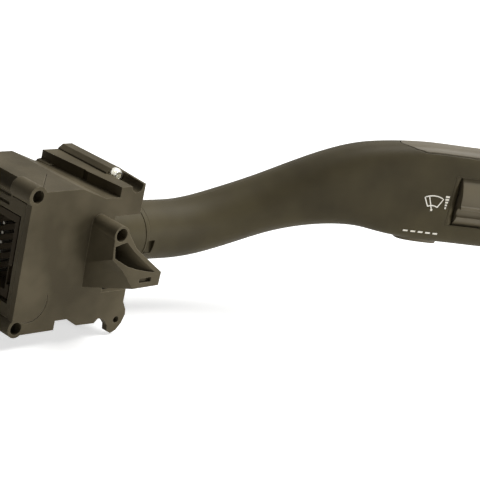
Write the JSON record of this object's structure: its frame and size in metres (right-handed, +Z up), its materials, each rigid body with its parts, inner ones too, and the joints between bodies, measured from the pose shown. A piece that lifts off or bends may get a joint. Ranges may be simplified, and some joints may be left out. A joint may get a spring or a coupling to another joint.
{
  "type": "combination stalk switch",
  "caption": "Steering column stalk switch with a moulded case, a swan-neck lever on a gimbal and a flat paddle that carries a thumbwheel, a rocker and a button.",
  "frame": {"origin": "centre of the raised seat on the back of the case", "axes": "+Y out of the seat (away from the driver), +X from the case along the lever, +Z up"},
  "size_m": [0.1868, 0.0822, 0.0646],
  "materials": {
    "housing_plastic": "fine matt grain, dark warm olive grey",
    "socket_plastic": "matt black",
    "lever_plastic": "satin grain, dark warm grey",
    "control_plastic": "satin grain, slightly paler than the lever",
    "frame_plastic": "matt, natural acetal",
    "board_laminate": "matt green laminate",
    "contact_brass": "bright",
    "tinned_terminal": "tinned, bright",
    "zinc_steel": "bright zinc",
    "pin_steel": "ground",
    "spring_steel": "drawn wire",
    "cable_jacket": "matt"
  },
  "bodies": {
    "case": {"main_housing": "housing_plastic", "end_cover": "housing_plastic", "connector_housing": "socket_plastic", "connector_pins": "tinned_terminal", "back_cover": "housing_plastic", "cover_screws": "zinc_steel", "circuit_board": "board_laminate", "contact_tracks": "contact_brass", "carriage_guide": "socket_plastic", "wash_switch": "socket_plastic", "detent_gate": "socket_plastic", "fixing_screw": "zinc_steel"},
    "carrier": {"gimbal_ring": "frame_plastic", "cross_pin": "pin_steel", "return_spring": "spring_steel"},
    "lever": {"core_arm": "frame_plastic", "root_sleeve": "lever_plastic", "seal_ring": "lever_plastic", "lever_front_shell": "lever_plastic", "lever_rear_shell": "lever_plastic", "lever_screws": "zinc_steel", "paddle_cap": "lever_plastic", "wheel_bezel": "lever_plastic", "rocker_pin": "pin_steel", "wheel_pin": "pin_steel", "paddle_board": "board_laminate", "paddle_switches": "socket_plastic", "detent_spring": "spring_steel", "ribbon_cable": "cable_jacket"},
    "plunger": {"detent_plunger": "pin_steel"},
    "wheel": {"interval_wheel": "control_plastic"},
    "rocker": {"trip_rocker": "control_plastic"},
    "button": {"reset_button": "control_plastic"},
    "carriage": {"contact_carriage": "socket_plastic", "wiper_contacts": "contact_brass"}
  },
  "joints": [
    {"name": "wiper_stage", "type": "hinge", "parent": "case", "child": "carrier", "pos_m": [0.005, -0.02, 0], "axis": [0, -1, 0], "range_deg": [-6, 18]},
    {"name": "wash_pull", "type": "hinge", "parent": "carrier", "child": "lever", "pos_m": [0.005, -0.02, 0], "axis": [0, 0, -1], "range_deg": [-7, 7], "stiffness_Nm_per_rad": 6, "deforming": ["return_spring"]},
    {"name": "interval_wheel_turn", "type": "hinge", "parent": "lever", "child": "wheel", "pos_m": [0.14455, -0.06664, 0.0207], "axis": [0.866, -0.5, 0], "range_deg": [-20, 20]},
    {"name": "trip_rocker_tilt", "type": "hinge", "parent": "lever", "child": "rocker", "pos_m": [0.13459, -0.06089, 0.0322], "axis": [0.5, 0.866, 0], "range_deg": [-1.4, 1.4], "stiffness_Nm_per_rad": 0.2},
    {"name": "reset_button_press", "type": "slide", "parent": "lever", "child": "button", "axis": [0, 0, 1], "range_m": [0, 0.0009], "stiffness_N_per_m": 800, "springref_m": -0.0004},
    {"name": "detent_plunger_slide", "type": "slide", "parent": "lever", "child": "plunger", "axis": [1, 0, 0], "range_m": [0, 0.0008], "stiffness_N_per_m": 1200, "springref_m": -0.0004, "deforming": ["detent_spring"]},
    {"name": "carriage_slide", "type": "slide", "parent": "case", "child": "carriage", "axis": [0, 0, 1], "range_m": [-0.0029, 0.001]}
  ],
  "couplings": [
    {"joint": "carriage_slide", "follows": "wiper_stage", "m_per_rad": -0.009}
  ]
}
